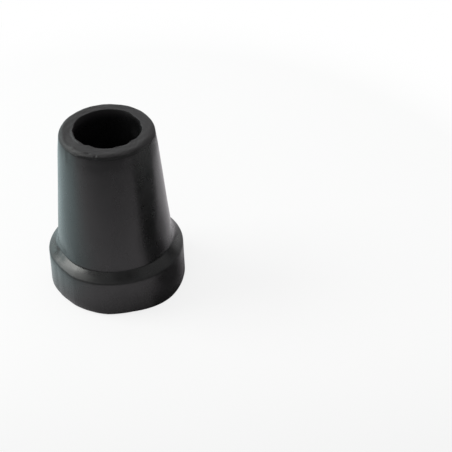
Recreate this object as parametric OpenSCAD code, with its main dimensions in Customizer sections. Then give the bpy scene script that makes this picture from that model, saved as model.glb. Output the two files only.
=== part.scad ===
// Rubber cane tip: the push-on foot of a round walking stick, moulded in one piece.
//
// The shaft goes down into the socket from above and bears on the thick sole. A tapered
// sleeve grips it, and a wide collar carries the load to the lip that the tip stands on.
// Inside that lip the sole is set back, and two round grooves leave a ring and a centre pad.
//
// Millimetres. +Z is the shaft's axis, and the origin is the middle of the standing plane.

/* [Socket] */
// Diameter of the shaft that the socket grips
shaft_d = 19; // [16:0.5:25]
// Depth of the socket below the rim
socket_depth = 38; // [20:1:50]
// Radius of the edge at the socket's mouth
mouth_round = 0.4; // [0.1:0.1:1.5]
// Radius in the corner round the socket's floor
socket_floor_round = 1.5; // [0.5:0.25:4]

/* [Sleeve] */
// Rubber round the shaft at the rim
rim_wall = 4.25; // [2.5:0.25:6]
// Radius of the rim's outer edge
rim_round = 1.7; // [0.4:0.1:2.5]
// Rubber round the shaft where the sleeve meets the shoulder
foot_wall = 7.25; // [5.75:0.25:10]
// Radius in the hollow between the sleeve and the shoulder
foot_fillet = 1.2; // [0.2:0.1:3]

/* [Collar] */
// Height of the collar's wall above the floor
collar_h = 11.4; // [8:0.2:16]
// Height of the slope that joins the collar to the sleeve
shoulder_h = 2.4; // [0.6:0.1:5]
// How far the collar stands out past the foot of the sleeve
collar_step = 2.9; // [1.5:0.1:5]
// How much the collar widens towards the floor, on each side
collar_draft = 0.05; // [0:0.05:1]
// Radius of the collar's upper edge
collar_round = 0.5; // [0.1:0.1:1.5]
// Radius of the collar's lower edge
base_round = 1; // [0.2:0.1:1.5]

/* [Sole] */
// Rubber between the socket's floor and the standing plane
sole_t = 13.8; // [10:0.2:20]
// Width of the lip that the tip stands on, with its outer radius
lip_w = 2.1; // [1.5:0.1:3]
// Width of the slope from the lip up to the set-back sole
lip_slope_w = 2.2; // [0.6:0.1:3]
// How far the sole is set back above the standing plane
sole_setback = 2.1; // [0.5:0.1:4]
// Radius in the hollow at the top of the lip's slope
lip_hollow_round = 2; // [0.5:0.25:4]
// Diameter of the pad in the middle of the sole
pad_d = 11.4; // [8:0.2:13]
// Width of the groove round the pad
inner_groove_w = 2.2; // [1:0.1:3]
// Width of the ring between the two grooves
ring_w = 3.1; // [1.5:0.1:4]
// Width of the groove round the ring
outer_groove_w = 2.7; // [1:0.1:3.5]
// Depth of both grooves
groove_depth = 2.5; // [0.5:0.1:4.5]
// Lean of the grooves' walls, which lets the tip off its mould
groove_lean_deg = 3; // [0:0.5:8]
// Radius in the corners of the grooves' floors
groove_floor_round = 0.6; // [0.1:0.1:1]
// Radius of the edges of the lip, the ring, the pad and the grooves
tread_round = 0.25; // [0.05:0.05:0.5]

/* [Hidden] */
$fn = 96;
rubber_colour = [0.16, 0.16, 0.17];

// Largest share of a straight run that the round at one end of it may take up
round_share = 0.48;
// Turn between the points along a round
arc_step_deg = 15;

// Radii, out from the shaft
socket_r = shaft_d / 2;
rim_r = socket_r + rim_wall;
foot_r = socket_r + foot_wall;
collar_r = foot_r + collar_step;
base_r = collar_r + collar_draft;

// Heights, up from the floor
shoulder_z = collar_h + shoulder_h;
rim_z = sole_t + socket_depth;
groove_z = sole_setback + groove_depth;

// Radii on the sole: the pad, the grooves and the ring from the middle, the lip from the edge
pad_r = pad_d / 2;
ring_in_r = pad_r + inner_groove_w;
ring_out_r = ring_in_r + ring_w;
land_in_r = ring_out_r + outer_groove_w;
lip_in_r = base_r - lip_w;
land_out_r = lip_in_r - lip_slope_w;
groove_lean = groove_depth * tan(groove_lean_deg);

// The section's outline is a list of corners, each [radius, height, round], which runs
// along the sole from the axis, up the outside, over the rim and down the socket.

// The four corners of a groove in the sole
function groove_corners(in_r, out_r) = [
    [in_r, sole_setback, tread_round],
    [in_r + groove_lean, groove_z, groove_floor_round],
    [out_r - groove_lean, groove_z, groove_floor_round],
    [out_r, sole_setback, tread_round]
];

sole_corners = concat(
    [[0, sole_setback, 0]],
    groove_corners(pad_r, ring_in_r),
    groove_corners(ring_out_r, land_in_r),
    [[land_out_r, sole_setback, lip_hollow_round], [lip_in_r, 0, tread_round]]
);

collar_corners = [
    [base_r, 0, base_round],
    [collar_r, collar_h, collar_round],
    [foot_r, shoulder_z, foot_fillet]
];

rim_corners = [
    [rim_r, rim_z, rim_round],
    [socket_r, rim_z, mouth_round]
];

socket_corners = [
    [socket_r, sole_t, socket_floor_round],
    [0, sole_t, 0]
];

tip_corners = concat(sole_corners, collar_corners, rim_corners, socket_corners);

// Corner i of an outline as a point, counted round and round
function corner(outline, i) =
    let (c = outline[(i + len(outline)) % len(outline)]) [c[0], c[1]];

// The straight run that leaves corner i
function run(outline, i) = corner(outline, i + 1) - corner(outline, i);

function unit(v) = v / norm(v);

// Change of direction at corner i, in degrees: above zero where the corner points outwards
function turn(outline, i) =
    let (before = run(outline, i - 1), after = run(outline, i))
    atan2(cross(before, after), before * after);

// Distance from corner i to each end of its round, kept within the runs that it joins
function setback(outline, i) = min(
    outline[i][2] * tan(abs(turn(outline, i)) / 2),
    round_share * min(norm(run(outline, i - 1)), norm(run(outline, i)))
);

function round_radius(outline, i) =
    setback(outline, i) / tan(abs(turn(outline, i)) / 2);

// The round's centre lies on the line that halves the corner
function round_centre(outline, i) =
    let (fold = unit(unit(run(outline, i)) - unit(run(outline, i - 1))))
    corner(outline, i) + fold * round_radius(outline, i) / cos(turn(outline, i) / 2);

function turned(v, angle) =
    [v[0] * cos(angle) - v[1] * sin(angle), v[0] * sin(angle) + v[1] * cos(angle)];

// Points along the round at corner i, from one run to the next
function round_points(outline, i) =
    let (
        centre = round_centre(outline, i),
        start = corner(outline, i) - setback(outline, i) * unit(run(outline, i - 1)),
        steps = ceil(abs(turn(outline, i)) / arc_step_deg)
    )
    [for (k = [0:steps]) centre + turned(start - centre, turn(outline, i) * k / steps)];

// The area inside an outline, with each of its corners rounded as the outline says
module rounded_section(outline) {
    polygon([
        for (i = [0:len(outline) - 1])
            each outline[i][2] > 0 ? round_points(outline, i) : [corner(outline, i)]
    ]);
}

module cane_tip() {
    color(rubber_colour)
        rotate_extrude()
            rounded_section(tip_corners);
}

cane_tip();
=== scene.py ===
# %% [markdown]
# # A rubber foot for a walking stick
#
# A cane tip is the soft black foot that is pushed onto the end of a walking stick. It is one
# piece of rubber, pressed in a hot steel mould: a tapered sleeve with a round socket for the
# shaft, a wide collar that takes the load, and a set-back, grooved sole that grips the ground.
#
# This notebook gives the tip its looks. Its measured model is already there as a fixed frame,
# and everything below is made in that frame, in metres, with the origin in the middle of the
# plane that the tip stands on.

# %% Load the measured model
import math

import bmesh
import bpy
import numpy as np
from mathutils import Matrix, Vector


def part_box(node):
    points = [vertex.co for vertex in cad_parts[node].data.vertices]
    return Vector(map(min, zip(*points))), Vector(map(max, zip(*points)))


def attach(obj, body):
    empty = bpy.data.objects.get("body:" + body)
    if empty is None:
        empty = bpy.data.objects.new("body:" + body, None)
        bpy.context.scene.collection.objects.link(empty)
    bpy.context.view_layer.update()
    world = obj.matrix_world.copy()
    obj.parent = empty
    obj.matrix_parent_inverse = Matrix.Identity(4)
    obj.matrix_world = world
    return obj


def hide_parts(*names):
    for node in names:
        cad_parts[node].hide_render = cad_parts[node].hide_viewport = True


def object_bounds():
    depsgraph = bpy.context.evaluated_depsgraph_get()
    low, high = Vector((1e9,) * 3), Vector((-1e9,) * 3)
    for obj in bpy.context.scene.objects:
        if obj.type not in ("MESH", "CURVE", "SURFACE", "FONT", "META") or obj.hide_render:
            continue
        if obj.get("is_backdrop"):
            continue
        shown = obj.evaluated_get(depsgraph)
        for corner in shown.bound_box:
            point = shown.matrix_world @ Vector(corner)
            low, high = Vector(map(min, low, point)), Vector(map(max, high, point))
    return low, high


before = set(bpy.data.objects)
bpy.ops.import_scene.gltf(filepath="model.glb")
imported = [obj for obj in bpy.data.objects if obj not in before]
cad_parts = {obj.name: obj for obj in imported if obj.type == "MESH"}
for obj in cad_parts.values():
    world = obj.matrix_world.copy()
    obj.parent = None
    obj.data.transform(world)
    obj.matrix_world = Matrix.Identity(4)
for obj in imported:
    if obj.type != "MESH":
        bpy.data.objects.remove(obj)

MM = 0.001
measured_box = [list(corner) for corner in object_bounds()]
tip_low, tip_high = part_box("cane_tip")
print("The measured tip is", [round(side / MM, 2) for side in tip_high - tip_low], "mm")

# %% [markdown]
# ## The sizes
#
# A round moulded thing is described by half of its section: radii out from the axis, and
# heights above the floor. Naming each size once, as a maker's drawing does, lets the later
# steps say "at the rim" and not "at 51.8". Edges that years of use have rubbed get a softer
# round than the drawing's, and the knife has left the socket's mouth sharper.

# %% Sizes in millimetres
sole_z = 2.1
pad_r = 5.7
ring_in_r = 7.9
ring_out_r = 11.0
land_in_r = 13.7
land_out_r = 15.4
lip_in_r = 17.6
groove_z = 4.6
groove_lean = 0.131
base_r = 19.7
collar_r = 19.65
collar_z = 11.4
foot_r = 16.75
foot_z = 13.8
rim_r = 13.75
rim_z = 51.8
socket_r = 9.5
socket_z = 13.8

tread_round = 0.25
groove_round = 0.6
hollow_round = 2.0
base_round = 1.0
collar_round = 1.0
foot_round = 0.5
rim_round = 1.7
mouth_round = 0.15
socket_round = 1.5
print("The tip is", 2 * base_r, "mm wide and", rim_z, "mm high")

# %% [markdown]
# ## The section as a line
#
# The outline runs along the sole from the axis, up the outside, over the rim and down the
# socket. It could be drawn as a dense line with every round worked out. Here it is a line
# through the true corners only, and each corner carries its own round as the point's radius,
# so that one Fillet Curve node can round them all. Where marks and wear are put on later, the
# straight runs get points of their own, because a mesh can only be moved where it has points.

# %% The corners of the sole


def groove(inner_r, outer_r):
    """The four corners of one groove in the sole."""
    return [
        (inner_r, sole_z, tread_round),
        (inner_r + groove_lean, groove_z, groove_round),
        (outer_r - groove_lean, groove_z, groove_round),
        (outer_r, sole_z, tread_round),
    ]


sole = [(0, sole_z, 0)]
sole += groove(pad_r, ring_in_r)
sole += groove(ring_out_r, land_in_r)
sole += [(land_out_r, sole_z, hollow_round), (lip_in_r, 0, tread_round)]
print("Corners along the sole:", len(sole))

# %% The corners of the outside
# Directions in the section, one millimetre long: so much outwards, and so much up.
down_the_slope = (0.770, -0.638)
up_the_sleeve = (-0.079, 0.997)


def from_foot_along(direction, distances):
    """Points without a round on a straight run, so many millimetres from the sleeve's foot."""
    return [(foot_r + direction[0] * d, foot_z + direction[1] * d, 0) for d in distances]


outside = [(base_r, 0, base_round), (collar_r, collar_z, collar_round)]
outside += from_foot_along(down_the_slope, (2.6, 2.2, 1.8, 1.4, 1.1, 0.8, 0.5))
outside += [(foot_r, foot_z, foot_round)]
outside += from_foot_along(up_the_sleeve, (0.5, 0.8, 1.1, 1.4, 1.8))
outside += [(rim_r, rim_z, rim_round)]
print("Corners along the outside:", len(outside))

# %% The corners of the rim and the socket
# The points stand closest near the socket's mouth, where the marks are finest.
wide_apart = np.arange(11.85, 10.3, -0.22)
close_together = np.arange(10.2, 9.67, -0.09)
flat_rim = [(place, rim_z, 0) for place in (*wide_apart, *close_together)]
socket = [(socket_r, rim_z, mouth_round), (socket_r, socket_z, socket_round), (0, socket_z, 0)]
section = sole + outside + flat_rim + socket
print("Points across the flat rim:", len(flat_rim))

# %% Draw the section


def put_in_scene(name, data):
    """An object of the given mesh, curve, lamp or camera, in the scene."""
    made = bpy.data.objects.new(name, data)
    bpy.context.scene.collection.objects.link(made)
    return made


section_line = bpy.data.curves.new("tip_section", "CURVE")
section_line.dimensions = "3D"
spline = section_line.splines.new("POLY")
spline.points.add(len(section) - 1)
for point, (radius, height, rounding) in zip(spline.points, section):
    point.co = (radius * MM, height * MM, 0, 1)
    point.radius = rounding * MM

section_object = put_in_scene("tip_section", section_line)
print("The section has", len(section), "points")

# %% [markdown]
# ## Helpers for node trees
#
# Every tree below is built from the same two moves: add a node with its values, and lead one
# socket into another. Node trees could be drawn by hand in Blender's editor. Written as code
# they stay readable, and a few short helpers say what a group of nodes does.

# %% Add a node, and do sums with nodes


def add(tree, kind, sockets=None, **settings):
    """Adds a node. Each socket gets a plain value, or another node's output to follow."""
    node = tree.nodes.new(kind)
    for name, value in settings.items():
        setattr(node, name, value)
    for key, value in (sockets or {}).items():
        if isinstance(value, bpy.types.NodeSocket):
            tree.links.new(value, node.inputs[key])
        else:
            node.inputs[key].default_value = value
    return node


def calc(tree, operation, first, *others):
    """Math nodes in a row: each takes the result so far and the next value."""
    result = first
    for other in others:
        result = add(tree, "ShaderNodeMath", {0: result, 1: other}, operation=operation).outputs[0]
    return result


def step(tree, value, low, high, to_low=0.0, to_high=1.0):
    """Goes smoothly from to_low to to_high while value goes from low to high."""
    values = {"Value": value, "From Min": low, "From Max": high}
    values.update({"To Min": to_low, "To Max": to_high})
    stepped = add(tree, "ShaderNodeMapRange", values, interpolation_type="SMOOTHSTEP")
    return stepped.outputs["Result"]


def mix_colours(tree, share, first, second, blend="MIX"):
    """The first colour where the share is 0, and the second where it is 1."""
    colours = {0: share, 6: first, 7: second}
    return add(tree, "ShaderNodeMix", colours, data_type="RGBA", blend_type=blend).outputs[2]


def mix_values(tree, share, first, second):
    """The first value where the share is 0, and the second where it is 1."""
    return add(tree, "ShaderNodeMix", {0: share, 2: first, 3: second}, data_type="FLOAT").outputs[0]


# %% Make sockets and empty materials


def new_socket(tree, way, name, kind, default=None):
    """A named input or output of a tree or a node group."""
    made = tree.interface.new_socket(name, in_out=way, socket_type="NodeSocket" + kind)
    if default is not None:
        made.default_value = default
    return made


def new_material(name):
    """A material with no nodes in it yet, and its tree."""
    material = bpy.data.materials.new(name)
    material.use_nodes = True
    material.node_tree.nodes.clear()
    return material, material.node_tree


def show(tree, shader):
    """Leads a shader to the material's output."""
    tree.links.new(shader, add(tree, "ShaderNodeOutputMaterial").inputs["Surface"])


# %% [markdown]
# ## The lathe
#
# The two halves of the steel mould were turned on a lathe, so the tip follows one rule: its
# section, swept once round the axis. A Screw modifier would sweep it too. Geometry Nodes are
# used because the rounds, the steps along the line, the sweep and the rubber's slight sinking
# as it cools all stay named inputs of one tree.

# %% Lathe tree: its inputs
lathe = bpy.data.node_groups.new("lathe", "GeometryNodeTree")
lathe_inputs = [
    ("Section", "Geometry"), ("Round step", "Float"), ("Straight step", "Float"),
    ("Steps around", "Int"), ("Sink depth", "Float"), ("Sink size", "Float"),
    ("Seed", "Float"), ("Rubber", "Material"),
]
input_id = {}
for name, kind in lathe_inputs:
    input_id[name] = new_socket(lathe, "INPUT", name, kind).identifier
new_socket(lathe, "OUTPUT", "Tip", "Geometry")
given = add(lathe, "NodeGroupInput").outputs
print("The lathe is given:", list(input_id))

# %% [markdown]
# ### Rounds and steps along the line
#
# The Fillet Curve node rounds every corner by the radius that its point carries. A large round
# needs more points than a small one to look smooth, so the count comes from the radius. The
# straight runs are then divided into steps of about equal length.

# %% Lathe tree: round the corners
corner_round = add(lathe, "GeometryNodeInputRadius").outputs[0]
round_points = calc(lathe, "CEIL", calc(lathe, "DIVIDE", corner_round, given["Round step"]), 0.0)
fewest_points = 3.0
rounded = add(
    lathe,
    "GeometryNodeFilletCurve",
    {
        "Curve": given["Section"],
        "Count": calc(lathe, "MAXIMUM", round_points, fewest_points),
        "Radius": corner_round,
        "Limit Radius": True,
    },
    mode="POLY",
)
print("Each round gets at least", int(fewest_points), "points")

# %% Lathe tree: divide the straight runs


def at_point(index, value):
    """A vector as it is at another point of the line."""
    values = {"Index": index, "Value": value}
    return add(lathe, "GeometryNodeFieldAtIndex", values, data_type="FLOAT_VECTOR").outputs[0]


here = add(lathe, "GeometryNodeInputPosition").outputs[0]
next_point = add(lathe, "GeometryNodeOffsetPointInCurve", {"Offset": 1}).outputs["Point Index"]
last_point = add(lathe, "GeometryNodeOffsetPointInCurve", {"Offset": -1}).outputs["Point Index"]
there = at_point(next_point, here)
run = add(lathe, "ShaderNodeVectorMath", {0: there, 1: here}, operation="DISTANCE")
steps_in_run = calc(lathe, "DIVIDE", run.outputs["Value"], given["Straight step"])
cuts = calc(lathe, "FLOOR", steps_in_run, 0.0)
divided = add(lathe, "GeometryNodeSubdivideCurve", {"Curve": rounded.outputs[0], "Cuts": cuts})
print("The lathe tree has", len(lathe.nodes), "nodes so far")

# %% [markdown]
# ### A note of where the section bends
#
# Rubber wears on its outward edges, and the grey film gathers in its hollows. The finish could
# find both with a Pointiness node, but an exported model loses that. The tree therefore writes
# the bend of the line, for each millimetre, into an attribute: above 0 on an outward edge,
# below 0 in a hollow, and 0 on a straight run.

# %% Lathe tree: store the bend
along = add(lathe, "GeometryNodeInputTangent").outputs[0]
turning_by = add(
    lathe,
    "ShaderNodeVectorMath",
    {0: at_point(last_point, along), 1: at_point(next_point, along)},
    operation="CROSS_PRODUCT",
)
span = add(
    lathe, "ShaderNodeVectorMath", {0: there, 1: at_point(last_point, here)}, operation="DISTANCE"
)
turned_by = add(lathe, "ShaderNodeSeparateXYZ", {0: turning_by.outputs[0]}).outputs["Z"]
bend = calc(lathe, "MULTIPLY", calc(lathe, "DIVIDE", turned_by, span.outputs["Value"]), MM)
noted = add(
    lathe,
    "GeometryNodeStoreNamedAttribute",
    {"Geometry": divided.outputs[0], "Name": "bend", "Value": bend},
    data_type="FLOAT",
    domain="POINT",
)
print("The bend goes into the attribute", noted.inputs["Name"].default_value)

# %% [markdown]
# ### The sweep
#
# Curve to Mesh carries the section round a circle. The section is set upright on a small hub
# circle, so that its own zero falls on the axis. The points that meet on the axis and at the
# seam are then merged, which closes the skin.

# %% Lathe tree: sweep the section round the axis
hub_r = 10 * MM
merge_within = 0.001 * MM
upright = add(
    lathe,
    "GeometryNodeTransform",
    {"Geometry": noted.outputs[0], "Translation": (-hub_r, 0, 0), "Rotation": (math.pi, 0, 0)},
)
hub = add(
    lathe,
    "GeometryNodeCurvePrimitiveCircle",
    {"Resolution": given["Steps around"], "Radius": hub_r},
)
swept = add(
    lathe,
    "GeometryNodeCurveToMesh",
    {"Curve": hub.outputs["Curve"], "Profile Curve": upright.outputs[0]},
)
closed = add(
    lathe, "GeometryNodeMergeByDistance", {"Geometry": swept.outputs[0], "Distance": merge_within}
)
facing_out = add(lathe, "GeometryNodeFlipFaces", {"Mesh": closed.outputs[0]})
print("The hub circle is", round(2 * hub_r / MM), "mm across")

# %% [markdown]
# ### Sinking
#
# Thick rubber shrinks unevenly as it cools, by a few hundredths of a millimetre, and always
# inwards. It is too little to see as shape, but it bends the long reflections, and without it
# the tip looks like turned metal. Soft noise with a fixed seed moves each point in along its
# normal.

# %% Lathe tree: let the rubber sink a little
inwards = -1.0
sink_scale = calc(lathe, "DIVIDE", 1.0, given["Sink size"])
sinking = add(
    lathe,
    "ShaderNodeTexNoise",
    {"W": given["Seed"], "Scale": sink_scale, "Detail": 1.5, "Roughness": 0.45},
    noise_dimensions="4D",
)
outward = add(lathe, "GeometryNodeInputNormal").outputs["Normal"]
sink = calc(lathe, "MULTIPLY", sinking.outputs["Fac"], given["Sink depth"], inwards)
moved_in = add(lathe, "ShaderNodeVectorMath", {0: outward, "Scale": sink}, operation="SCALE")
sunk = add(
    lathe,
    "GeometryNodeSetPosition",
    {"Geometry": facing_out.outputs[0], "Offset": moved_in.outputs[0]},
)
print("The lathe tree has", len(lathe.nodes), "nodes so far")

# %% Lathe tree: finish
smooth = add(lathe, "GeometryNodeSetShadeSmooth", {"Geometry": sunk.outputs[0]})
realized = add(lathe, "GeometryNodeRealizeInstances", {"Geometry": smooth.outputs[0]})
coated = add(
    lathe,
    "GeometryNodeSetMaterial",
    {"Geometry": realized.outputs[0], "Material": given["Rubber"]},
)
lathe.links.new(coated.outputs[0], add(lathe, "NodeGroupOutput").inputs[0])
print("The lathe tree has", len(lathe.nodes), "nodes")

# %% [markdown]
# ## The finish
#
# Moulded black rubber is carbon black in rubber: almost no colour of its own, and a soft shine
# from the smooth steel of the mould. On top of that come fine grain, cloudy flow marks where
# the rubber filled the mould, and a thin grey bloom of wax that creeps out with age. Each of
# these is a small node group with named inputs, so that it can be tuned by itself, and each
# gives out a height or a mask and nothing more. The shader itself stays in the material.
#
# ### Grain
#
# The steel of a mould is never quite mirror-smooth, so the skin has a grain far finer than a
# millimetre, which rides on soft ripples a few millimetres long. It is too small to model, so
# it is a height that a Bump node will use.

# %% Grain: the fine matt skin


def noise(tree, place, size, **values):
    """Noise with marks of about the given size, from 0 to 1."""
    settings = {"Vector": place, "Scale": calc(tree, "DIVIDE", 1.0, size)}
    settings.update({name.capitalize(): value for name, value in values.items()})
    return add(tree, "ShaderNodeTexNoise", settings).outputs["Fac"]


grain = bpy.data.node_groups.new("moulded_grain", "ShaderNodeTree")
new_socket(grain, "INPUT", "Place", "Vector")
new_socket(grain, "INPUT", "Grain size", "Float", 0.35 * MM)
new_socket(grain, "INPUT", "Ripple size", "Float", 2.2 * MM)
new_socket(grain, "INPUT", "Ripple share", "Float", 0.5)
new_socket(grain, "OUTPUT", "Height", "Float")
given = add(grain, "NodeGroupInput").outputs
fine = noise(grain, given["Place"], given["Grain size"], detail=3.0, roughness=0.6)
ripple = noise(grain, given["Place"], given["Ripple size"], detail=2.0, roughness=0.5)
rippled = calc(grain, "MULTIPLY", ripple, given["Ripple share"])
grain_height = calc(grain, "ADD", rippled, fine)
grain.links.new(grain_height, add(grain, "NodeGroupOutput").inputs["Height"])
print("The grain group has", len(grain.nodes), "nodes")

# %% [markdown]
# ### Flow marks
#
# Warm rubber is pushed into the mould and stops flowing at slightly different times, which
# leaves clouds that are a little shinier or duller, drawn out along the way that it flowed. On
# a tip that is up and down, so the noise is stretched along the axis. A painted mask would do
# too, but noise on Object coordinates needs no image.

# %% Flow marks: cloudy changes in the shine
flow = bpy.data.node_groups.new("flow_marks", "ShaderNodeTree")
new_socket(flow, "INPUT", "Place", "Vector")
new_socket(flow, "INPUT", "Mark size", "Float", 6 * MM)
new_socket(flow, "INPUT", "Stretch", "Float", 0.35)
new_socket(flow, "OUTPUT", "Mask", "Float")
given = add(flow, "NodeGroupInput").outputs
sides = add(flow, "ShaderNodeSeparateXYZ", {0: given["Place"]}).outputs
squeezed = calc(flow, "MULTIPLY", sides["Z"], given["Stretch"])
drawn_out = add(flow, "ShaderNodeCombineXYZ", {"X": sides["X"], "Y": sides["Y"], "Z": squeezed})
clouds = noise(
    flow, drawn_out.outputs[0], given["Mark size"], detail=3.0, roughness=0.55, distortion=0.6
)
cloud_low, cloud_high = 0.32, 0.68
mask = step(flow, clouds, cloud_low, cloud_high)
flow.links.new(mask, add(flow, "NodeGroupOutput").inputs["Mask"])
print("The flow group has", len(flow.nodes), "nodes")

# %% [markdown]
# ### Bloom
#
# Wax is mixed into rubber to keep it from cracking. It creeps to the surface and dries as a
# thin grey film, in patches, and it stays longest in hollows, where nothing wipes it off. In
# the hollows the grey is also painted light, which lightens the creases. The patches are
# noise, and the hollows are found by the bend that the lathe tree stored.

# %% Bloom: a thin grey film in patches, and in the hollows film and painted light
film_and_light_in_hollows = 0.4
patch_low, patch_high = 0.42, 0.78
hollow_starts, hollow_full = -0.15, -0.60

bloom = bpy.data.node_groups.new("bloom", "ShaderNodeTree")
new_socket(bloom, "INPUT", "Place", "Vector")
new_socket(bloom, "INPUT", "Bend", "Float", 0.0)
new_socket(bloom, "INPUT", "Patch size", "Float", 9 * MM)
new_socket(bloom, "INPUT", "In hollows", "Float", film_and_light_in_hollows)
new_socket(bloom, "OUTPUT", "Mask", "Float")
given = add(bloom, "NodeGroupInput").outputs
patches = noise(bloom, given["Place"], given["Patch size"], detail=5.0, roughness=0.65)
in_patches = step(bloom, patches, patch_low, patch_high)
# Painted light: the grey in the hollows also lightens the creases
hollow = step(bloom, given["Bend"], hollow_starts, hollow_full)
settled_film_and_light = calc(bloom, "MULTIPLY", hollow, given["In hollows"])
film_and_light_mask = calc(bloom, "MAXIMUM", in_patches, settled_film_and_light)
bloom.links.new(film_and_light_mask, add(bloom, "NodeGroupOutput").inputs["Mask"])
print("The bloom group has", len(bloom.nodes), "nodes")

# %% [markdown]
# ### Three skins on one piece
#
# The tip shows three skins. The moulded skin has the mould's soft shine. The trimmed skin, at
# the rim, is where the knife and the buffing wheel have been: it is duller and a little
# warmer. The scuffed skin is where kerbs have dulled the collar's edge, and hands the sleeve.
# One material carries all three, because it is one piece of rubber, and the skins fade into
# each other. Attributes on the mesh, which are written further down, say where each one is.

# %% The colours and shines of the rubber
RUBBER = (0.0070, 0.0071, 0.0073, 1.0)
BLOOM = (0.045, 0.045, 0.047, 1.0)
BUFFED = (0.0138, 0.0123, 0.0136, 1.0)
SCUFFED = (0.014, 0.014, 0.0145, 1.0)
RUBBER_IOR = 1.55

# Shine is given as roughness: 0 is a mirror, and 1 is chalk.
MOULDED_SHINE = 0.22
CLOUDED_SHINE = 0.28
TRIMMED_SHINE = 0.60
SCUFFED_SHINE = 0.50

rubber, tree = new_material("black_rubber")
print("Rubber gives back", round(100 * RUBBER[0], 1), "percent of the light, as carbon black does")

# %% Where things are on the rubber
place = add(tree, "ShaderNodeTexCoord").outputs["Object"]
bent = add(tree, "ShaderNodeAttribute", attribute_name="bend").outputs["Fac"]
trimmed = add(tree, "ShaderNodeAttribute", attribute_name="trimmed").outputs["Fac"]
scuffed = add(tree, "ShaderNodeAttribute", attribute_name="scuffed").outputs["Fac"]

# Painted shade: the hollow at the right front gets no grey, so its crease stays dark.
place_sides = add(tree, "ShaderNodeSeparateXYZ", {0: place}).outputs
shaded_hollow_x = step(tree, place_sides["X"], 4 * MM, 11 * MM)
shaded_hollow_y = step(tree, place_sides["Y"], -6 * MM, -11 * MM)
film_outside_shaded_hollow = calc(tree, "SUBTRACT", 1.0, calc(tree, "MULTIPLY", shaded_hollow_x, shaded_hollow_y))
hollow_film_and_light = calc(tree, "MULTIPLY", film_outside_shaded_hollow, film_and_light_in_hollows)
print("Attributes that the rubber reads: bend, trimmed and scuffed")

# %% Put the groups in
film_values = {"Place": place, "Bend": bent, "In hollows": hollow_film_and_light}
film_and_hollow_light = add(tree, "ShaderNodeGroup", film_values, node_tree=bloom).outputs["Mask"]
marks = add(tree, "ShaderNodeGroup", {"Place": place}, node_tree=flow).outputs["Mask"]
skin = add(tree, "ShaderNodeGroup", {"Place": place}, node_tree=grain).outputs["Height"]
print("Groups in the rubber:", [group.name for group in (bloom, flow, grain)])

# %% Colour: rubber, greyed by the film and by painted light in the hollows, then scuffed, then trimmed
film_strength = 0.25
colour = mix_colours(tree, calc(tree, "MULTIPLY", film_and_hollow_light, film_strength), RUBBER, BLOOM)
colour = mix_colours(tree, scuffed, colour, SCUFFED)
colour = mix_colours(tree, trimmed, colour, BUFFED)
print("The film covers", round(100 * film_strength), "percent of the black at most")

# %% Shine: clouded by the flow marks, duller under the film, smoother on rubbed edges
film_dulls = 0.05
rubbing_polishes = 0.03
edge_starts, edge_full = 0.3, 1.2

rubbed = step(tree, bent, edge_starts, edge_full)
shine = step(tree, marks, 0.0, 1.0, MOULDED_SHINE, CLOUDED_SHINE)
shine = calc(tree, "ADD", shine, calc(tree, "MULTIPLY", film_and_hollow_light, film_dulls))
shine = calc(tree, "SUBTRACT", shine, calc(tree, "MULTIPLY", rubbed, rubbing_polishes))
shine = mix_values(tree, scuffed, shine, SCUFFED_SHINE)
shine = mix_values(tree, trimmed, shine, TRIMMED_SHINE)
print("Roughness runs from", MOULDED_SHINE - rubbing_polishes, "to", TRIMMED_SHINE)

# %% The shader
bump_strength = 0.18
grain_depth = 0.02 * MM
bumps = add(
    tree, "ShaderNodeBump", {"Strength": bump_strength, "Distance": grain_depth, "Height": skin}
)
surface = add(
    tree,
    "ShaderNodeBsdfPrincipled",
    {
        "Base Color": colour,
        "Roughness": shine,
        "IOR": RUBBER_IOR,
        "Normal": bumps.outputs[0],
    },
)
show(tree, surface.outputs[0])
print("The rubber has", len(tree.nodes), "nodes")

# %% [markdown]
# ## Mould the tip
#
# The tree is put on the section as a modifier, its inputs are set, and its result is taken
# off as a plain mesh. The section itself is then no longer needed. A round gets a point for
# about each tenth of a millimetre of its radius, and one turn has 360 steps, so the outline
# stays round even close up.

# %% Run the lathe
turning = section_object.modifiers.new("lathe", "NODES")
turning.node_group = lathe
settings = {
    "Round step": 0.11 * MM,
    "Straight step": 1.3 * MM,
    "Steps around": 360,
    "Sink depth": 0.06 * MM,
    "Sink size": 9.0 * MM,
    "Seed": 7.0,
    "Rubber": rubber,
}
for name, value in settings.items():
    turning[input_id[name]] = value

depsgraph = bpy.context.evaluated_depsgraph_get()
moulded = section_object.evaluated_get(depsgraph)
tip_mesh = bpy.data.meshes.new_from_object(moulded, depsgraph=depsgraph)
tip_mesh.name = "rubber_tip"
tip = put_in_scene("rubber_tip", tip_mesh)
bpy.data.objects.remove(section_object)
print("The tip has", len(tip_mesh.polygons), "faces of", tip_mesh.materials[0].name)

# %% [markdown]
# ## Marks of the making and of use
#
# A tip that has been made and used is not a perfect turned shape. The marks could be noise,
# but each has a cause and a place, so each gets a cell of its own. The mesh is read as a
# radius, a height and an angle for every point, in millimetres and degrees, and the marks
# change those. Angle 0 is on the right, -90 is in front, and 180 is on the left.

# %% Read the mesh as radius, height and angle
points = np.empty(len(tip_mesh.vertices) * 3)
tip_mesh.vertices.foreach_get("co", points)
points = points.reshape(-1, 3) / MM
radius = np.hypot(points[:, 0], points[:, 1])
height = points[:, 2].copy()
angle = np.degrees(np.arctan2(points[:, 1], points[:, 0]))

# Beyond this radius a point lies on the outside, and never in the socket.
outside_r = 12
print("Points to shape:", len(points))

# %% Helpers that say where a mark is


def smooth_step(value, low, high):
    """0 below low and 1 above high, with a soft start and end."""
    share = np.clip((value - low) / (high - low), 0, 1)
    return share * share * (3 - 2 * share)


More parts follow.
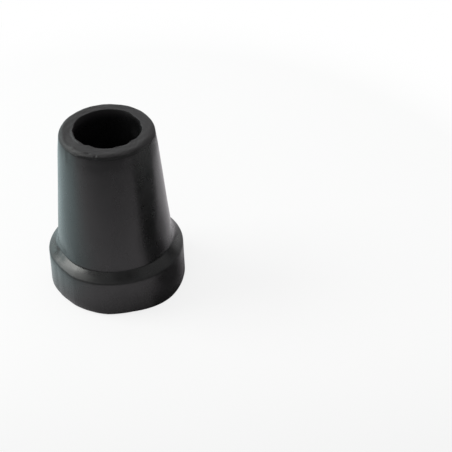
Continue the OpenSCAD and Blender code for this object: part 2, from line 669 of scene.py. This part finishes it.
def hump(value, centre, width):
    """1 at the centre, and close to 0 one and a half widths away."""
    return np.exp(-(((value - centre) / width) ** 2))


def around(centre, width):
    """A hump by angle, in degrees round the axis."""
    return hump((angle - centre + 180) % 360 - 180, 0, width)


def near(distance, reach):
    """1 at no distance, and softly down to 0 at the reach."""
    return np.clip(1 - distance / reach, 0, 1) ** 2


def by_angle(pairs):
    """Reads a list of (angle, millimetres) round the axis, for every point of the mesh."""
    angles, depths = zip(*pairs)
    return np.interp(angle, angles, depths, period=360)


# %% [markdown]
# ### The socket's mouth
#
# Where the parts of the mould meet, a thin fin of rubber squeezes out. It is trimmed off with
# a knife, which leaves the socket's mouth a little ragged. A bump pattern would leave the
# mouth's outline a perfect circle, so the points themselves are moved, by a list that says how
# far the cut edge lies outside its true circle at each angle.

# %% Trim the socket's mouth
mouth_cuts = [
    (-170, -0.12), (-152, -0.05), (-140, -0.27), (-130, -0.07), (-120, -0.49), (-108, -0.14),
    (-80, 0.02), (-70, -0.21), (-52, 0.14), (-41, -0.25), (-30, 0.30), (-18, 0.30), (0, 0.52),
    (10, 0.11), (20, 0.38), (38, 0.02), (50, 0.46), (60, 0.49), (70, 0.38), (90, 0.30),
    (110, 0.24), (130, 0.26), (142, 0.44), (160, 0.20), (172, -0.06), (180, 0.12),
]
at_the_top = smooth_step(height, rim_z - 1.6, rim_z - 0.4)
at_the_mouth = 1 - smooth_step(radius, socket_r + 0.4, socket_r + 1.6)
cut = by_angle(mouth_cuts) * at_the_top * at_the_mouth
radius += cut
print("The mouth is cut by", round(float(np.abs(cut).max()), 2), "mm at most")

# %% [markdown]
# ### A collar a little out of round
#
# Soft rubber takes a set where it is leaned on. The collar stands out by a third of a
# millimetre at the right front and is pressed in at the left. Where it is pressed in, the foot
# of the sleeve goes with it, by three quarters. Scaling the whole collar would make it oval,
# which it is not, so this is a list by angle again.

# %% Let the soft collar be out of round
collar_bends = [
    (-180, 0.0), (-165, -0.10), (-152, -0.42), (-140, -0.28), (-128, 0.12), (-108, 0.15),
    (-86, -0.10), (-70, -0.05), (-56, 0.15), (-42, 0.32), (-28, 0.20), (-12, 0.0),
]
collar_bend = by_angle(collar_bends)
at_collar = smooth_step(radius, 15.0, 18.5) * (1 - smooth_step(height, 13.0, 14.5))
foot_share = 0.75
to_foot = foot_share + (1 - foot_share) * smooth_step(radius, 17.0, 18.8)
to_foot *= 1 - smooth_step(height, 14.0, 20.0)
to_foot *= smooth_step(radius, outside_r, outside_r + 1)
collar_bend *= np.where(collar_bend < 0, to_foot, at_collar)
radius += collar_bend
print("The collar stands out by", round(float(collar_bend.max()), 2), "mm at most")

# %% [markdown]
# ### The hollow under the sleeve
#
# The hollow where the sleeve meets the collar is sharp in front and wider at both sides, most
# at the right, and in front the sleeve's foot flares out into it. The lathe can only give one
# round all the way, so the rest is added here: a fill that fades out over two millimetres or
# so, as a larger round would. The collar's own edge is rubbed rounder at the left front.

# %% Fill the hollow at the sides
# The way out of the hollow, halfway between the sleeve and the slope
outwards, upwards = 0.89, 0.46
from_foot = np.hypot(radius - foot_r, height - foot_z)
fill = 0.28 * near(from_foot, 1.5) * around(-178, 24)
fill += 0.45 * near(from_foot, 2.4) * around(18, 45)
radius += outwards * fill
height += upwards * fill
print("The hollow is filled by", round(float(fill.max()), 2), "mm at most")

# %% Flare the foot in front, and rub the collar's edge
slope_height = foot_z - collar_z
flare_up = near(height - foot_z, slope_height)
flare_down = np.clip((height - collar_z) / slope_height, 0, 1)
flare = np.where(height > foot_z, flare_up, flare_down)
radius += 0.07 * flare * around(-112, 45) * (radius > outside_r)

from_corner = np.hypot(radius - collar_r, height - collar_z)
rubbed_off = 0.10 * near(from_corner, 1.4) * around(-142, 24)
radius -= outwards * rubbed_off
height -= upwards * rubbed_off
print("The collar's edge has lost", round(float(rubbed_off.max()), 2), "mm at most")

# %% [markdown]
# ### The worn lower edge
#
# With each step the stick is put down on the tip's edge and rolls over it, so the lower edge
# wears away at the front left, while it keeps its moulded shape elsewhere. The list says how
# much is gone at each angle; below 0, more rubber is left than the plain round would leave.

# %% Wear the lower edge
edge_wears = [
    (-175, 0.0), (-158, 0.10), (-148, 0.16), (-138, 0.42), (-126, 0.50), (-112, 0.38),
    (-98, 0.02), (-84, 0.20), (-76, 0.30), (-68, 0.08), (-58, -0.12), (-48, -0.25),
    (-37, -0.22), (-25, -0.06), (-10, 0.0), (175, 0.0),
]
edge_wear = by_angle(edge_wears)
edge_wear *= smooth_step(radius, 17.6, 18.6) * (1 - smooth_step(height, 0.4, 2.8))
radius -= edge_wear
print("The lower edge has lost", round(float(edge_wear.max()), 2), "mm at most")

# %% [markdown]
# ### The sleeve under the rim
#
# The top of the sleeve has no sole to hold its shape, so it shrinks a little more as it cools
# and draws in under the rim. At the right the whole side lies a tenth of a millimetre further
# in, and a faint ripple runs below the rim at the left, where the wheel pushed against it.

# %% Let the sleeve draw in
outer_skin = smooth_step(radius, socket_r + 0.5, rim_r - rim_round)
drawn_in = 0.14 * smooth_step(height, 44.5, 50.5) ** 1.5 * outer_skin
radius -= drawn_in
radius -= 0.11 * around(25, 55) * smooth_step(height, 17, 27) * outer_skin

faint_ripples = [(-146, 2.5, 0.05), (-140, 3.0, -0.05), (-128, 4, 0.03)]
ripple = sum(out * around(centre, width) for centre, width, out in faint_ripples)
ripple *= smooth_step(height, 45.5, 48.5) * (1 - smooth_step(height, 50.0, 50.8))
radius += ripple * (radius > outside_r)
print("The sleeve draws in by", round(float(drawn_in.max()), 2), "mm under the rim")

# %% [markdown]
# ### The trimmed line
#
# The rim's outer round shows how far the buffing wheel reached: a fine line, with the buffed
# skin above it and the moulded skin a few hundredths of a millimetre below. The place on the
# round is given by its tilt: 0 on the flat rim, and 90 where the sleeve's side begins.

# %% Step in below the trimmed line
round_r = rim_r - rim_round
round_z = rim_z - rim_round
tilt = np.degrees(np.arctan2(radius - round_r, height - round_z))
on_round = (radius > round_r) & (height > round_z - 4)
line_tilts = [
    (-180, 70), (-160, 74), (-142, 64), (-126, 66), (-110, 52), (-95, 46),
    (-60, 45), (-45, 49), (-25, 75), (0, 100), (90, 70), (180, 70),
]
wavers_by = 1.5
line_tilt = np.interp(angle, *zip(*line_tilts))
line_tilt += wavers_by * np.sin(np.radians(angle * 7))
below_line = smooth_step(tilt, line_tilt, line_tilt + 6)
below_line *= smooth_step(height, round_z - 3, round_z)
step_in = 0.015 + 0.030 * around(-95, 22)
radius -= np.where(on_round, step_in * below_line, 0)
print("Below the line the skin steps in by", round(float(step_in.max()), 3), "mm at most")

# %% [markdown]
# ### Marks on the rim
#
# The fin's stub leaves soft lumps on the rim, and a nick shows where the knife stopped. Each
# is a small hump or dent, and they could be sculpted. As rows in a list they stay exact: an
# angle, a place across the rim, half the width in degrees, half the depth, and how far it
# stands out. The place is a radius, carried on along the outer round.

# %% The marks of the trimmed fin
rim_marks = [
    (-170, 9.74, 10, 0.20, 0.10),
    (-157, 9.74, 6, 0.20, 0.08),
    (-144, 9.70, 6, 0.18, 0.24),
    (-117, 9.80, 8, 0.22, 0.16),
    (-160, 10.35, 20, 0.40, -0.14),
    (-158, 11.3, 22, 0.90, -0.16),
    (-148, 12.6, 12, 0.70, -0.06),
    (-137, 12.35, 3.2, 0.50, 0.13),
    (-133, 13.0, 2.5, 0.40, -0.06),
    (-121, 12.70, 5, 0.40, 0.08),
    (-112.5, 12.5, 3.5, 0.32, -0.26),
    (-107, 13.05, 6, 0.22, 0.06),
    (-102.3, 13.2, 1.3, 0.55, -0.18),
    (-100.0, 13.3, 0.9, 0.60, 0.10),
]
on_rim = (height > round_z - 0.5) & (radius > socket_r - 0.05) & (tilt < 90)
arc = rim_round * np.radians(np.clip(tilt, 0, 90))
across_rim = np.where(radius < round_r, radius, round_r + arc)
stand_out = np.zeros(len(radius))
for mark_angle, mark_place, half_width, half_depth, out in rim_marks:
    stand_out += out * around(mark_angle, half_width) * hump(across_rim, mark_place, half_depth)
print("Marks on the rim:", len(rim_marks))
print("The highest stands out by", round(float(stand_out.max()), 2), "mm")

# %% [markdown]
# The buffing wheel also leaves shallow waves all round the rim. Three sine waves of unlike
# length are enough, because together they don't seem to repeat. The rim as a whole is set
# down by a tenth of a millimetre, so that the lumps stay below its measured height.

# %% Buffing waves, and move the rim's points
buffing_waves = [
    # depth, waves in one turn, slant across the rim, shift
    (0.022, 7, 2.0, 0),
    (0.020, 13, -3.0, 1),
    (0.012, 29, 5.0, 0),
]
for depth, turns, slant, shift in buffing_waves:
    wave = depth * np.sin(np.radians(angle * turns) + slant * across_rim + shift)
    stand_out += wave * smooth_step(across_rim, socket_r + 0.2, socket_r + 0.8)
rim_set_down = 0.10
stand_out -= rim_set_down
stand_out *= on_rim * (1 - smooth_step(tilt, 60, 85))
leaning = np.where(radius > round_r, np.radians(tilt), 0)
radius += stand_out * np.sin(leaning)
height += stand_out * np.cos(leaning)
height = np.minimum(height, rim_z)
print("The rim's highest point is at", round(float(height.max()), 2), "mm")

# %% [markdown]
# ### Where the skin is trimmed
#
# The buffed skin covers the flat rim and its round, down to the trimmed line. Inside the
# mouth, the wheel reached little more than the left of the back. The share of it is written to
# the mesh as an attribute, which the material reads.

# %% Write the trimmed skin's place
near_rim = smooth_step(height, rim_z - 6.0, rim_z - 0.3) ** 2.5
in_socket = smooth_step(rim_z - height, 0.15, 0.4)
wheel_missed = 0.85 * (1 - smooth_step(angle, 50, 110))
near_rim *= 1 - in_socket * wheel_missed
above_line = 1 - smooth_step(tilt, line_tilt - 3, line_tilt + 1)
trimmed_skin = np.where(radius > round_r, above_line * (height > round_z), near_rim)
trimmed_skin *= height > rim_z - 8.0


def write_attribute(name, values):
    """Stores one number for each point of the tip, where the material can read it."""
    note = tip_mesh.attributes.new(name, "FLOAT", "POINT")
    note.data.foreach_set("value", values.astype(np.float32))


write_attribute("trimmed", trimmed_skin)
print("Trimmed points:", int((trimmed_skin > 0.5).sum()), "of", len(trimmed_skin))

# %% [markdown]
# ### Where the skin is scuffed
#
# The collar's edge meets kerbs and steps, so its shine is dulled, most at the left front. The
# sleeve is dulled too, just under the rim at the left, where a hand holds the tip to push it
# on. The distance from the collar's corner gives a soft band along the edge.

# %% Write the scuffed skin's place
from_edge = np.hypot(radius - collar_r, height - collar_z)
edge_scuff = 0.60 * hump(from_edge, 0, 1.1)
front_scuff = 0.80 * around(-128, 26) * smooth_step(radius, 17.6, 18.6)
front_scuff *= height > collar_z - 0.8
held = 0.60 * around(-150, 24) * smooth_step(height, 46.8, 49.8) * (radius > outside_r)
scuff = np.maximum(edge_scuff, front_scuff) * (height < 14.5) * (height > 9)
scuff = np.maximum(scuff, held)
write_attribute("scuffed", scuff)
print("Scuffed points:", int((scuff > 0.3).sum()))

# %% Set the points back into the mesh
points[:, 0] = radius * np.cos(np.radians(angle))
points[:, 1] = radius * np.sin(np.radians(angle))
points[:, 2] = height
tip_mesh.vertices.foreach_set("co", (points * MM).ravel())
tip_mesh.update()
print("The shaped tip is", [round(float(side), 2) for side in np.ptp(points, axis=0)], "mm")

# %% [markdown]
# ### Check the skin
#
# A moulded thing is one closed skin. Every edge of the mesh therefore belongs to exactly two
# triangles, and the volume comes out above zero when the faces point outwards. Both are quick
# to measure, and the volume can be held against the model's.

# %% Check that the mesh is closed and faces outwards
tip_mesh.calc_loop_triangles()
corners = np.empty(len(tip_mesh.loop_triangles) * 3, dtype=np.int32)
tip_mesh.loop_triangles.foreach_get("vertices", corners)
corners = corners.reshape(-1, 3)
first, second, third = points[corners].transpose(1, 0, 2)
volume = np.einsum("ij,ij->i", first, np.cross(second, third)).sum() / 6
edges = np.sort(corners[:, [0, 1, 1, 2, 2, 0]].reshape(-1, 2), axis=1)
open_edges = int((np.unique(edges, axis=0, return_counts=True)[1] != 2).sum())
print("Triangles:", len(corners), " open edges:", open_edges)
print("The rubber takes up", round(float(volume)), "cubic millimetres")

# %% [markdown]
# ## Floor, surroundings and lamps
#
# A plain product set-up: the tip stands on white paper, with one large soft lamp high on the
# left. The rubber is so dark that what is seen on it is mostly the room in its shine. The room
# therefore matters as much as the lamps: white paper all round, a white backdrop behind, and a
# dim room in front.
#
# ### The floor
#
# The paper is one large flat disc under the tip. It is flat and stays flat, so a plain mesh is
# enough.

# %% Floor
floor_r = 2.5
floor_sides = 96
floor_edge = []
for k in range(floor_sides):
    turn = 2 * math.pi * k / floor_sides
    floor_edge.append((floor_r * math.cos(turn), floor_r * math.sin(turn), 0))

floor_mesh = bpy.data.meshes.new("floor")
floor_mesh.from_pydata(floor_edge, [], [list(range(floor_sides))])
floor = put_in_scene("floor", floor_mesh)
print("The floor is", 2 * floor_r, "m across")

# %% [markdown]
# ### White paper
#
# Lit paper is never equally bright everywhere: it falls off towards the dim side of a room, it
# is brighter and cooler on the side of a window, and things that stand on it shade it. Real
# windows and tables could be built for that. Here the paper's own material says where it is
# bright and where it is in shade. The Light Path node keeps most of this in the rubber's shine,
# so that the background stays plain white and the tip's own shadow still falls on it.

# %% The paper's colours, and where on the paper a point lies
PAPER = (0.92, 0.92, 0.92, 1.0)
DIM_PAPER = (0.45, 0.45, 0.45, 1.0)
SHADE = (0.14, 0.14, 0.14, 1.0)
WHITE = (1.0, 1.0, 1.0, 1.0)
COOL = (0.79, 0.97, 1.0, 1.0)
MAUVE = (1.0, 0.94, 0.99, 1.0)

paper, tree = new_material("white_floor")
rays = add(tree, "ShaderNodeLightPath").outputs
camera_ray = rays["Is Camera Ray"]
shine_ray = rays["Is Glossy Ray"]
spot = add(tree, "ShaderNodeTexCoord").outputs["Object"]
away = add(tree, "ShaderNodeVectorMath", {0: spot}, operation="LENGTH").outputs["Value"]
spot_x = add(tree, "ShaderNodeSeparateXYZ", {0: spot}).outputs["X"]
spot_y = add(tree, "ShaderNodeSeparateXYZ", {0: spot}).outputs["Y"]
print("The paper gives back", round(100 * PAPER[0]), "percent of the light")

# %% Where the paper is plain white to the camera, and glows far behind
# How much of its white the paper gives by itself, so that only the tip's shadow is left on it
white_near_tip = 0.82
far_behind = calc(tree, "MULTIPLY", step(tree, away, 0.12, 0.45), step(tree, spot_y, 0.05, 0.20))
less_on_the_right = step(tree, spot_x, 0.05, 0.12, 1.0, 0.3)
seen = calc(tree, "MAXIMUM", camera_ray, shine_ray, rays["Is Transmission Ray"])
glow_behind = calc(tree, "MULTIPLY", seen, far_behind, less_on_the_right)
glow_around = calc(tree, "MULTIPLY", camera_ray, step(tree, away, 0.045, 0.15))
glow_near = calc(tree, "MULTIPLY", camera_ray, white_near_tip)

# %% Where the shine sees the window's light on the paper
window_light = 0.6
left_of_tip = step(tree, spot_x, 0.0, -0.05)
falling_off = step(tree, spot_x, -0.12, -0.075, 0.25, 1.0)
not_in_front = step(tree, spot_y, -0.06, -0.005)
window_side = calc(tree, "MULTIPLY", left_of_tip, falling_off, not_in_front, shine_ray)
glow_left = calc(tree, "MULTIPLY", window_side, window_light)

# %% Where light comes round behind the tip
light_close_behind = 0.45
light_at_the_right = 0.2
close_behind = step(tree, away, 0.045, 0.026)
behind_tip = step(tree, spot_y, 0.0, 0.018)
fill_behind = calc(tree, "MULTIPLY", close_behind, behind_tip, shine_ray, light_close_behind)
on_the_right = step(tree, spot_x, 0.0, 0.015)
well_behind = step(tree, spot_y, 0.016, 0.032)
fill_right = calc(tree, "MULTIPLY", on_the_right, well_behind, shine_ray, light_at_the_right)
glow_fill = calc(tree, "MAXIMUM", fill_behind, fill_right)
glows = [glow_behind, glow_around, glow_near, glow_left, glow_fill]
glowing = calc(tree, "MAXIMUM", *glows)
print("Ways in which the paper gives light by itself:", len(glows))

# %% [markdown]
# ### Shade on the paper
#
# The paper is darker close under the tip, in a soft ring at the left where the collar's shadow
# ends, and round the black card at the right. A shadow is soft where the light is wide, so each
# shade is a round patch with a soft edge, and the darkest one wins where two meet.

# %% Where the shine sees the paper in shade
shade_patches = [
    # the middle's x and y, how far from it the shade starts and is full, in mm; strength
    (33, -11, 21, 9, 1.0),
    (6, -5, 28, 18, 0.4),
    (16, -12.5, 10.5, 5, 0.9),
    (41, -34, 14, 3, 0.55),
    (48, 5, 17, 4, 0.3),
]
shades = []
for x, y, starts_at, full_at, strength in shade_patches:
    middle = (x * MM, y * MM, 0.0)
    from_middle = add(tree, "ShaderNodeVectorMath", {0: spot, 1: middle}, operation="DISTANCE")
    shade = step(tree, from_middle.outputs["Value"], starts_at * MM, full_at * MM, 0.0, strength)
    shades.append(shade)

ring_starts = step(tree, away, 34.5 * MM, 38 * MM)
ring_ends = step(tree, away, 44 * MM, 40 * MM)
ring_left = step(tree, spot_x, -16 * MM, -28 * MM, 0.0, 0.45)
ring_front = step(tree, spot_y, 2 * MM, -10 * MM)
shades.append(calc(tree, "MULTIPLY", ring_starts, ring_ends, ring_left, ring_front))
shaded = calc(tree, "MULTIPLY", calc(tree, "MAXIMUM", *shades), shine_ray)
print("Shades on the paper:", len(shades))

# %% Painted shade on the paper far from the tip, and sooner at the right, seen only in the shine
right_x = step(tree, spot_x, 0.03, 0.07)
right_y = step(tree, spot_y, -0.05, 0.01)
far_right = calc(tree, "MULTIPLY", right_x, right_y)
painted_far_shade_right = calc(tree, "MULTIPLY", far_right, step(tree, away, 0.074, 0.096, 0.0, 0.95))
painted_far_shade_round = step(tree, away, 0.09, 0.19, 0.0, 0.6)
painted_far_shade = calc(tree, "MULTIPLY", calc(tree, "MAXIMUM", painted_far_shade_round, painted_far_shade_right), shine_ray)

# %% The paper's colour
# Painted shade makes the paper dimmer in front, and a tint painted for the shine makes its light
# cool at the left and mauve elsewhere
in_front = step(tree, spot_y, -0.02, -0.12)
cool_x = step(tree, spot_x, -0.012, -0.03)
cool_y = step(tree, spot_y, -0.05, -0.01)
cool_side = calc(tree, "MULTIPLY", cool_x, cool_y)
tint = mix_colours(tree, cool_side, MAUVE, COOL)
paper_colour = mix_colours(tree, in_front, PAPER, DIM_PAPER)
paper_colour = mix_colours(tree, painted_far_shade, paper_colour, SHADE)
paper_colour = mix_colours(tree, shaded, paper_colour, SHADE)
paper_colour = mix_colours(tree, shine_ray, paper_colour, tint, "MULTIPLY")

# %% The paper's shader
matt = add(tree, "ShaderNodeBsdfDiffuse", {"Color": paper_colour})
glow_colour = mix_colours(tree, window_side, WHITE, COOL)
glow_level = step(tree, window_side, 0.0, 1.0, 1.0, 1.4)
glow = add(tree, "ShaderNodeEmission", {"Color": glow_colour, "Strength": glow_level})
both = add(tree, "ShaderNodeMixShader", {0: glowing, 1: matt.outputs[0], 2: glow.outputs[0]})
show(tree, both.outputs[0])
floor_mesh.materials.append(paper)
print("The paper has", len(tree.nodes), "nodes")

# %% [markdown]
# ### Black card
#
# In a studio, black card stands beside a shiny thing and draws a dark line down its side. Here
# one sheet is rolled to a cone and lies on the floor at the right, for the sleeve. A small
# black disc hangs above it, for the collar's slope, which looks further up. A camera would see
# both, and they would shade the tip, so the objects' own switches leave them to the shine.

# %% Helpers for card


def black_card(name, shape, grey):
    """A piece of matt card that only the shine can see."""
    material, tree = new_material(name)
    matt = add(tree, "ShaderNodeBsdfDiffuse", {"Color": grey(tree)})
    show(tree, matt.outputs[0])
    mesh = bpy.data.meshes.new(name)
    shape.to_mesh(mesh)
    shape.free()
    mesh.materials.append(material)
    piece = put_in_scene(name, mesh)
    piece.visible_camera = False
    piece.visible_diffuse = False
    piece.visible_shadow = False
    return piece


def placed(middle, direction):
    """The matrix that moves a shape to a place and points its Z along a direction."""
    return Matrix.Translation(middle) @ direction.to_track_quat("Z", "Y").to_matrix().to_4x4()


# %% A rolled card, lying on the floor
CARD_SHADED_GREY = 0.15
CARD_LIT_GREY = 0.36


def card_painted_shade(tree):
    """Painted shade and light: dark at the bottom, and greyer higher up."""
    spot = add(tree, "ShaderNodeTexCoord").outputs["Object"]
    card_height = add(tree, "ShaderNodeSeparateXYZ", {0: spot}).outputs["Z"]
    return step(tree, card_height, 22 * MM, 34 * MM, CARD_SHADED_GREY, CARD_LIT_GREY)


card_length = 50 * MM
card_along = Vector((0.66, 0.75, -0.07)).normalized()
card_start = Vector((39 * MM, -30 * MM, 17.6 * MM))
cone = bmesh.new()
bmesh.ops.create_cone(
    cone,
    segments=64,
    radius1=17.5 * MM,
    radius2=15.5 * MM,
    depth=card_length,
    cap_ends=True,
    matrix=placed(card_start + card_along * card_length / 2, card_along),
)
card = black_card("rolled_card", cone, card_painted_shade)
print("The card is", round(card_length / MM), "mm long")

# %% A small black disc above it
VELVET = (0.02, 0.02, 0.02, 1.0)


def disc_grey(tree):
    """Velvet takes in nearly all light, and is the same all over."""
    return VELVET


disc_middle = Vector((53.5 * MM, 13 * MM, 34.5 * MM))
circle = bmesh.new()
bmesh.ops.create_circle(
    circle,
    segments=48,
    radius=9.5 * MM,
    cap_ends=True,
    matrix=placed(disc_middle, disc_middle),
)
disc = black_card("black_disc", circle, disc_grey)
print("The disc hangs", round(disc_middle.length / MM), "mm from where the tip stands")

# %% [markdown]
# ### The room
#
# The world stands for the room: a ceiling of one grey, a bright backdrop behind the tip, and a
# darker wall in front. A picture of a real room could be wrapped round the scene, but a few
# steps between named levels are easier to read and to change. Strengths of 1 are white.
# Directions are unit vectors, so their Z is 0.5 at 30 degrees up.

# %% The room
CEILING = 0.42
FRONT_LOW = 0.20
FRONT_HIGH = 0.42
BACKDROP = 0.93

world = bpy.data.worlds.new("studio")
bpy.context.scene.world = world
world.use_nodes = True
tree = world.node_tree
tree.nodes.clear()
world_rays = add(tree, "ShaderNodeLightPath").outputs
look = add(tree, "ShaderNodeTexCoord").outputs["Generated"]
look_sides = add(tree, "ShaderNodeSeparateXYZ", {0: look}).outputs

behind = step(tree, look_sides["Y"], 0.38, 0.72)
under_top = step(tree, look_sides["Z"], 0.90, 0.80)
backdrop = calc(tree, "MULTIPLY", behind, under_top, BACKDROP)
ahead = step(tree, look_sides["Y"], 0.0, -0.4)
front = step(tree, look_sides["Z"], 0.60, 0.78, FRONT_LOW, FRONT_HIGH)
room = mix_values(tree, ahead, CEILING, front)
level = calc(tree, "MAXIMUM", room, backdrop)
print("The backdrop is", round(BACKDROP / CEILING, 1), "times as bright as the ceiling")

# %% [markdown]
# The camera on its arm hangs in the room too, as a dark shape high in front, and the rubber
# shows it. Last of all, what the camera itself sees of the room is plain white.

# %% The dark camera in the room, and the white background
arm_direction = (0.135, -0.45, 0.883)
arm = add(tree, "ShaderNodeVectorMath", {0: look, 1: arm_direction}, operation="DOT_PRODUCT")
beside_arm = step(tree, arm.outputs["Value"], 0.968, 0.988, 1.0, 0.0)
level = calc(tree, "MULTIPLY", level, beside_arm)
level = calc(tree, "MAXIMUM", level, world_rays["Is Camera Ray"])
sky = add(tree, "ShaderNodeBackground", {"Color": WHITE, "Strength": level})
tree.links.new(sky.outputs[0], add(tree, "ShaderNodeOutputWorld").inputs["Surface"])
print("The room has", len(tree.nodes), "nodes")

# %% [markdown]
# ### The lamps
#
# Four soft lamps: the key lamp high on the left gives the form and the shadow, two weak cool
# ones at the left stand for a window, and draw the pale line down the sleeve, and a wide one
# overhead lifts the whole a little without being mirrored. All of them are squares, because a
# square soft box is what most studios have, and its sharp edge shows how smooth a skin is.

# %% Lamps


def soft_lamp(name, azimuth, elevation, distance, side, strength, colour=(1.0, 1.0, 1.0)):
    """A square lamp that faces the tip. Azimuth 0 is in front, and -90 on the left."""
    turn = math.radians(azimuth)
    rise = math.radians(elevation)
    lamp_data = bpy.data.lights.new(name, "AREA")
    lamp_data.shape = "SQUARE"
    lamp_data.size = side
    lamp_data.energy = strength
    lamp_data.color = colour
    lamp = put_in_scene(name, lamp_data)
    tip_middle = 25 * MM
    lamp.location = (
        distance * math.sin(turn) * math.cos(rise),
        -distance * math.cos(turn) * math.cos(rise),
        distance * math.sin(rise) + tip_middle,
    )
    lamp.rotation_euler = (math.pi / 2 - rise, 0, turn)
    lamp.visible_camera = False
    return lamp


# Each lamp: azimuth and elevation in degrees, distance and side in metres, watts, colour
key = soft_lamp("key_lamp", -99, 39, 0.70, 0.42, 3.2, (0.98, 1.0, 0.965))
window = soft_lamp("window_lamp", -137, 18, 0.70, 0.34, 0.45, (0.68, 1.0, 1.0))
low = soft_lamp("low_lamp", -107, 12, 0.70, 0.21, 0.29, (0.80, 1.0, 1.0))
top = soft_lamp("top_lamp", 0, 80, 0.90, 0.70, 1.0)
top.visible_glossy = False
print("Lamps:", [lamp.name for lamp in (key, window, low, top)])

# %% [markdown]
# ## The camera
#
# A long lens looks down at the tip from well above, so that the rim shows as an open ring, and
# the sides hardly lean. The camera is turned down from level, rolled by a hair, and only then
# moved to its place, so each of the three can be changed by itself.

# %% Camera
camera_data = bpy.data.cameras.new("camera")
camera_data.lens = 149.42
camera_data.sensor_width = 36
camera_data.clip_start = 0.01
camera_data.clip_end = 20
camera = put_in_scene("camera", camera_data)

looking_down = math.radians(37.499)
roll = math.radians(2.278)
camera_place = Vector((32.277, -432.946, 348.065)) * MM
turned_down = Matrix.Rotation(math.pi / 2 - looking_down, 4, "X")
rolled = Matrix.Rotation(-roll, 4, "Z")
camera.matrix_world = Matrix.Translation(camera_place) @ turned_down @ rolled
bpy.context.scene.camera = camera
bpy.context.scene.view_settings.view_transform = "Standard"
print("The camera is", round(camera_place.length, 2), "m from the tip")

# %% [markdown]
# ## Hand over
#
# The box of the finished tip is written beside the measured one, so that the two can be
# compared.

# %% Say what each piece is
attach(tip, "root")
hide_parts("cane_tip")
for stage_piece in (floor, card, disc):
    stage_piece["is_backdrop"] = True

# %% Write down both boxes
made_box = [list(corner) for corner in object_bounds()]
for name, box in (("measured", measured_box), ("made", made_box)):
    print("The", name, "box in mm:", [[round(v / MM, 3) for v in corner] for corner in box])
